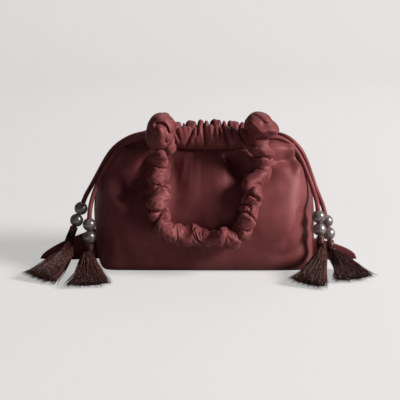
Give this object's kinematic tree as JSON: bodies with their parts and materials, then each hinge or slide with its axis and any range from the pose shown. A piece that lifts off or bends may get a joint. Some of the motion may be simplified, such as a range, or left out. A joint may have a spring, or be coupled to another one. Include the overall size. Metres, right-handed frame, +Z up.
{
  "type": "drawstring pouch",
  "caption": "Gathered satin drawstring pouch with corner ears, a ruched tube handle and hanging strings that end in round beads and thread tassels.",
  "frame": {"origin": "on the flat base, midway between the sides and 6 mm in front of the side seams' plane, where the pouch stands", "axes": "+X to the wearer's right along the width, +Y from the front panel to the back panel, +Z up"},
  "size_m": [0.4053, 0.1825, 0.1869],
  "materials": {
    "satin": "burgundy satin with a soft sheen",
    "cotton_core": "undyed cotton cord",
    "cord_satin": "burgundy satin cord",
    "dark_pearl": "dark grey pearl, polished",
    "binding_thread": "wound copper-brown silk thread",
    "silk_thread": "dark brown silk thread"
  },
  "bodies": {
    "pouch": {"front_panel": "satin", "back_panel": "satin", "front_casing": "satin", "back_casing": "satin", "handle_cover": "satin", "handle_core": "cotton_core", "drawstring_left": "cord_satin", "drawstring_right": "cord_satin", "binding_left_front": "binding_thread", "binding_left_back": "binding_thread", "binding_right_front": "binding_thread", "binding_right_back": "binding_thread", "tassel_left_front": "silk_thread", "tassel_left_back": "silk_thread", "tassel_right_front": "silk_thread", "tassel_right_back": "silk_thread"},
    "left_front_upper_bead": {"bead_left_front_upper": "dark_pearl"},
    "left_front_lower_bead": {"bead_left_front_lower": "dark_pearl"},
    "left_back_upper_bead": {"bead_left_back_upper": "dark_pearl"},
    "left_back_lower_bead": {"bead_left_back_lower": "dark_pearl"},
    "right_front_upper_bead": {"bead_right_front_upper": "dark_pearl"},
    "right_front_lower_bead": {"bead_right_front_lower": "dark_pearl"},
    "right_back_upper_bead": {"bead_right_back_upper": "dark_pearl"},
    "right_back_lower_bead": {"bead_right_back_lower": "dark_pearl"}
  },
  "joints": [
    {"name": "left_front_upper_bead_spin", "type": "hinge", "parent": "pouch", "child": "left_front_upper_bead", "pos_m": [-0.1347, -0.04, 0.0557], "axis": [0, 0.0599, 0.9982], "continuous": true},
    {"name": "left_front_lower_bead_spin", "type": "hinge", "parent": "pouch", "child": "left_front_lower_bead", "pos_m": [-0.1347, -0.0409, 0.04075], "axis": [0, 0.0599, 0.9982], "continuous": true},
    {"name": "left_back_upper_bead_spin", "type": "hinge", "parent": "pouch", "child": "left_back_upper_bead", "pos_m": [-0.1467, -0.018, 0.0693], "axis": [0.3492, 0.1838, 0.9189], "continuous": true},
    {"name": "left_back_lower_bead_spin", "type": "hinge", "parent": "pouch", "child": "left_back_lower_bead", "pos_m": [-0.15193, -0.02075, 0.05554], "axis": [0.3492, 0.1838, 0.9189], "continuous": true},
    {"name": "right_front_upper_bead_spin", "type": "hinge", "parent": "pouch", "child": "right_front_upper_bead", "pos_m": [0.1316, -0.04, 0.065], "axis": [-0.099, 0.099, 0.9901], "continuous": true},
    {"name": "right_front_lower_bead_spin", "type": "hinge", "parent": "pouch", "child": "right_front_lower_bead", "pos_m": [0.13308, -0.04148, 0.05018], "axis": [-0.099, 0.099, 0.9901], "continuous": true},
    {"name": "right_back_upper_bead_spin", "type": "hinge", "parent": "pouch", "child": "right_back_upper_bead", "pos_m": [0.1438, -0.02, 0.0541], "axis": [-0.1854, 0.1171, 0.9757], "continuous": true},
    {"name": "right_back_lower_bead_spin", "type": "hinge", "parent": "pouch", "child": "right_back_lower_bead", "pos_m": [0.14658, -0.02175, 0.03949], "axis": [-0.1854, 0.1171, 0.9757], "continuous": true}
  ]
}
